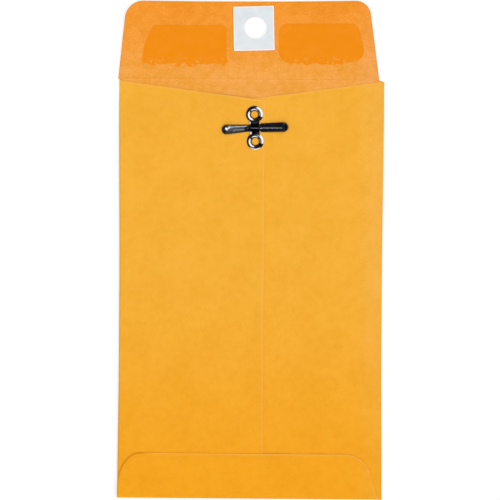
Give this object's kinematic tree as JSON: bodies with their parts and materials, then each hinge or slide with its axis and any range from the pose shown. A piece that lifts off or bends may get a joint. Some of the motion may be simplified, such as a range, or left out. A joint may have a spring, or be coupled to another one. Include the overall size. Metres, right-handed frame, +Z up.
{
  "type": "clasp envelope",
  "caption": "Kraft clasp envelope with a folded pocket, a gummed seal flap with a patched hole, and a pronged metal clasp that holds the closed flap.",
  "frame": {"origin": "on the table, under the middle of the opened envelope's outline", "axes": "+X to the right seen from the clasp side, +Y from the bottom fold towards the seal flap, +Z up out of the clasp side"},
  "size_m": [0.1016, 0.1924, 0.0023],
  "materials": {
    "kraft_paper": "matte",
    "gum_film": "gloss",
    "glue_film": "satin",
    "patch_paper": "matte",
    "clasp_metal": "gloss"
  },
  "bodies": {
    "pocket": {"front_panel": "kraft_paper", "left_side_fold": "kraft_paper", "right_side_fold": "kraft_paper", "left_back_panel": "kraft_paper", "right_back_panel": "kraft_paper", "bottom_fold": "kraft_paper", "bottom_flap": "kraft_paper", "seam_glue": "glue_film", "bottom_glue": "glue_film", "flap_crease": "kraft_paper", "clasp_base": "clasp_metal"},
    "flap": {"seal_flap": "kraft_paper", "left_gum": "gum_film", "right_gum": "gum_film", "patch_glue": "glue_film", "hole_patch": "patch_paper"},
    "left_prong_blade": {"left_prong": "clasp_metal"},
    "right_prong_blade": {"right_prong": "clasp_metal"}
  },
  "joints": [
    {"name": "flap_fold", "type": "hinge", "parent": "pocket", "child": "flap", "pos_m": [0, 0.0657, 0.0008], "axis": [1, 0, 0], "range_deg": [0, 175], "deforming": ["flap_crease"]},
    {"name": "left_prong_bend", "type": "hinge", "parent": "pocket", "child": "left_prong_blade", "pos_m": [-0.00045, 0.04684, 0.00151], "axis": [-0.0349, 0.9994, 0], "range_deg": [0, 90]},
    {"name": "right_prong_bend", "type": "hinge", "parent": "pocket", "child": "right_prong_blade", "pos_m": [0.00305, 0.04696, 0.00151], "axis": [0.0349, -0.9994, 0], "range_deg": [0, 90]}
  ]
}
